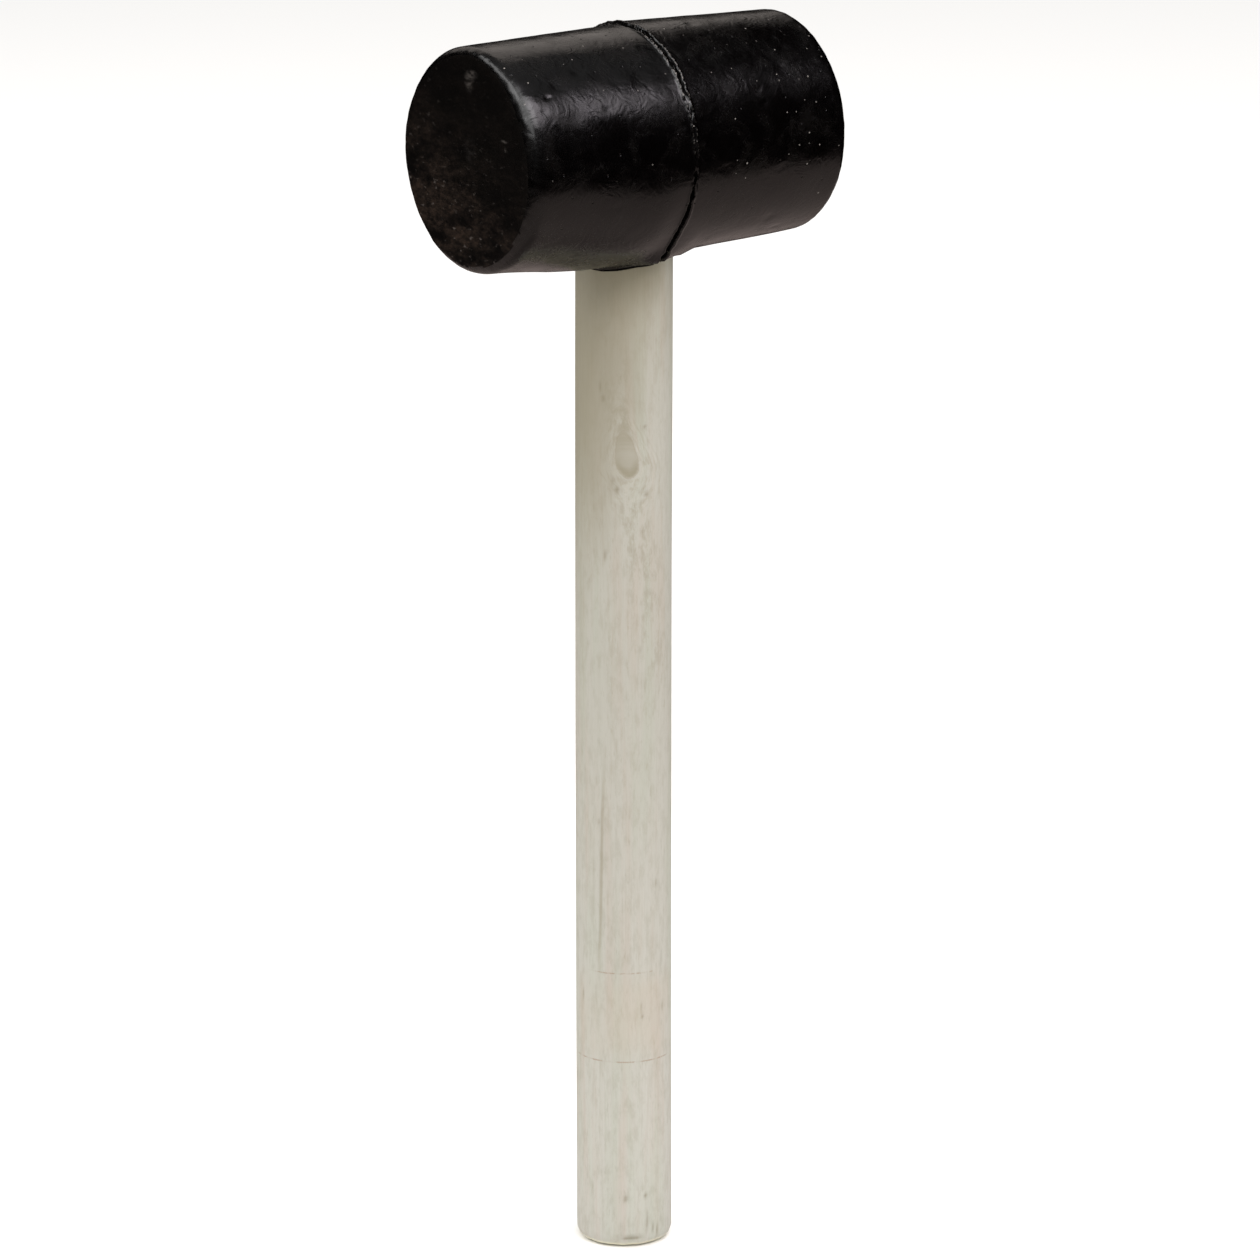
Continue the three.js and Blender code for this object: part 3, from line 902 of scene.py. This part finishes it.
    # Painted contact shade, a dark olive-grey band on the wood right under the lip
    painted_contact_shade = add("MapRange", **SMOOTH, Value=height, From_Min=266, From_Max=287, To_Max=0.60)
    in_front = add("MapRange", **SMOOTH, Value=out_mm, From_Min=6.5, From_Max=13)
    layers.append((linear("#6b634b"), painted_contact_shade, in_front))

    # Painted light on the turned edge of the butt, strongest at the very bottom
    butt = add("MapRange", **SMOOTH, Value=height, From_Min=0.3, From_Max=2.0, To_Min=0.8, To_Max=0.0)
    layers.append((linear("#e8e3c8"), butt))

    # The nicks darken with their depth
    nick = add("Attribute", attribute_name="nick").outputs["Fac"]
    layers.append((linear("#6f6549"), nick, NICK_STRENGTH))
    colour = linear("#b9b7ad")
    for tint, cover, *masks in layers:
        for mask in masks:
            cover = add("Math", cover, mask, operation="MULTIPLY")
        colour = add("Mix", data_type="RGBA", Factor=cover, A=colour, B=tint)

    relief = add("Math", pores, -0.6, fibres, operation="MULTIPLY_ADD")
    relief = add("Math", strokes, around, relief, operation="MULTIPLY_ADD")
    bump = add("Bump", Strength=0.35, Distance=0.12 * MM, Height=relief)
    roughness = add("MapRange", Value=fibres, From_Min=0.3, From_Max=0.7, To_Min=0.55, To_Max=0.72)
    wood = add("BsdfPrincipled", Base_Color=colour, Roughness=roughness, Normal=bump, IOR=1.45)
    add("OutputMaterial", Surface=wood)
    return material


handle = build_handle()
handle.data.materials.append(bleached_hardwood())
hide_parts("wooden_handle")
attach(handle, "root")

# ---------------------------------------------------------------------------------------------
# Studio. A pale matte floor that runs out past the view, softboxes at the right front, at the left
# and behind, and black and grey cards that only reflections see, which keep the rubber dark.
# ---------------------------------------------------------------------------------------------


def painted(name, code, glow=0.0):
    """Matt paint, or an evenly lit card where glow is above 0."""
    material, add = new_material(name)
    if glow:
        surface = add("Emission", Color=linear(code), Strength=glow)
    else:
        surface = add("BsdfDiffuse", Color=linear(code))
    add("OutputMaterial", Surface=surface)
    return material


def stage_piece(name, points, faces, material):
    made = build_mesh(name, points, faces)
    made.data.materials.append(material)
    return made


def card(name, points, faces, material):
    """A card as a studio hangs flags: it shapes the light in the gloss, and nothing else sees it."""
    made = stage_piece(name, points, faces, material)
    for ray in ("camera", "diffuse", "transmission", "shadow"):
        setattr(made, "visible_" + ray, False)


FLOOR_REACH = 30000.0
floor_corners = [(x * FLOOR_REACH, y * FLOOR_REACH, 0) for x, y in ((-1, -1), (1, -1), (1, 1), (-1, 1))]
stage_piece("pale_floor", floor_corners, [(0, 1, 2, 3)], painted("pale floor paint", "#f2f1ef"))

# A low black surround, and on the floor inside it a grey card with a darker one in the head's shadow
CARD_RADIUS = 645.0
CARD_TOP = 360.0
SHADOW_SHARE = 0.25
CARD_STEPS = 64
first_ring = list(range(CARD_STEPS))
card_turns = [2 * math.pi * i / CARD_STEPS for i in first_ring]
card_foot = [(CARD_RADIUS * math.cos(t), CARD_RADIUS * math.sin(t), 2.0) for t in card_turns]
card_head = [(x, y, CARD_TOP) for x, y, _ in card_foot]
walls = ring_faces(first_ring, [CARD_STEPS + i for i in first_ring])
card("black_card_surround", card_foot + card_head, walls, painted("black velvet", "#020202"))
card("grey_table_card", card_foot, [tuple(first_ring)], painted("grey card", "#ffe9e1", 0.43))
shadow_edge = [(SHADOW_SHARE * x, SHADOW_SHARE * y, 3.0) for x, y, _ in card_foot]
card("shadow_under_head", shadow_edge, [tuple(first_ring)], painted("card in shadow", "#ffe9e1", 0.28))

# Over the cards, a grey card as a ceiling and a black dome well outside the lamps
ceiling_corners = [(-1500, -600, 1500), (830, -600, 1500), (830, 600, 1500), (-1500, 600, 1500)]
card("ceiling_card", ceiling_corners, [(0, 3, 2, 1)], painted("ceiling card", "#ffffff", 0.24))
ROOM_RADIUS = 4000.0
ROOM_ROWS = 8
room_points = []
room_faces = []
for row in range(ROOM_ROWS + 1):
    tilt = math.radians(10 * row)
    ring_r, ring_z = ROOM_RADIUS * math.cos(tilt), ROOM_RADIUS * math.sin(tilt)
    room_points += [(ring_r * math.cos(t), ring_r * math.sin(t), ring_z) for t in card_turns]
    ring = [CARD_STEPS * row + i for i in first_ring]
    if row:
        room_faces += ring_faces([i - CARD_STEPS for i in ring], ring)
room_faces.append(tuple(ring))
card("black_room", room_points, room_faces, painted("black room", "#020202"))


def aim(made, target, azimuth, elevation, distance):
    """Puts a lamp or a camera that many mm from its target and turns it to face it. Azimuth is in
    degrees from -Y towards +X."""
    turn, tilt = math.radians(azimuth), math.radians(elevation)
    away = Vector((math.sin(turn) * math.cos(tilt), -math.cos(turn) * math.cos(tilt), math.sin(tilt)))
    made.location = target * MM + away * distance * MM
    made.rotation_mode = "QUATERNION"
    made.rotation_quaternion = away.to_track_quat("Z", "Y")
    bpy.context.scene.collection.objects.link(made)


def softbox(name, azimuth, elevation, distance, width, height, radiance, tint="#ffffff", only=None):
    """A rectangular lamp aimed at the head, sized in mm, that lights everything, or only the
    "diffuse" or only the "glossy" side of the materials."""
    lamp = bpy.data.lights.new(name, "AREA")
    lamp.shape = "RECTANGLE"
    lamp.size = width * MM
    lamp.size_y = height * MM
    lamp.energy = radiance * math.pi * lamp.size * lamp.size_y
    lamp.color = linear(tint)[:3]
    made = bpy.data.objects.new(name, lamp)
    made.visible_camera = False
    made.visible_diffuse = only != "glossy"
    made.visible_glossy = only != "diffuse"
    aim(made, Vector((0, 0, HEAD_AXIS)), azimuth, elevation, distance)


softbox("key_softbox", 1.5, 51, 1300, 1500, 460, 4.2, "#fff6fd")
softbox("left_softbox", -34, 54, 1300, 900, 700, 2.6)
softbox("back_softbox", 163, 36, 1600, 1500, 1000, 0.70, "#fff4ec")
softbox("left_fill", -140, 35, 2200, 1200, 1200, 3.7, only="diffuse")
softbox("right_fill", 105, 55, 2200, 1200, 1200, 2.2, only="diffuse")

# For the worn edge of the -X face, and for the thin bright line where it runs on over the top
softbox("edge_softbox", -64, 34, 1300, 750, 600, 2.6, only="glossy")
softbox("rim_softbox", -104, 43, 1300, 1200, 420, 3.2, only="glossy")

world = bpy.data.worlds.new("soft grey room")
world.use_nodes = True
background = world.node_tree.nodes["Background"]
background.inputs["Color"].default_value = linear("#ffffff")
background.inputs["Strength"].default_value = 0.85
bpy.context.scene.world = world

camera_data = bpy.data.cameras.new("camera")
camera_data.lens = 183.77
camera_data.sensor_width = 36.0
camera_data.clip_end = 100.0
camera = bpy.data.objects.new("camera", camera_data)
aim(camera, Vector((1.3, -1.0, 178.1)), -36.883, 14.963, 1792.6)
bpy.context.scene.camera = camera
bpy.context.scene.view_settings.view_transform = "Standard"
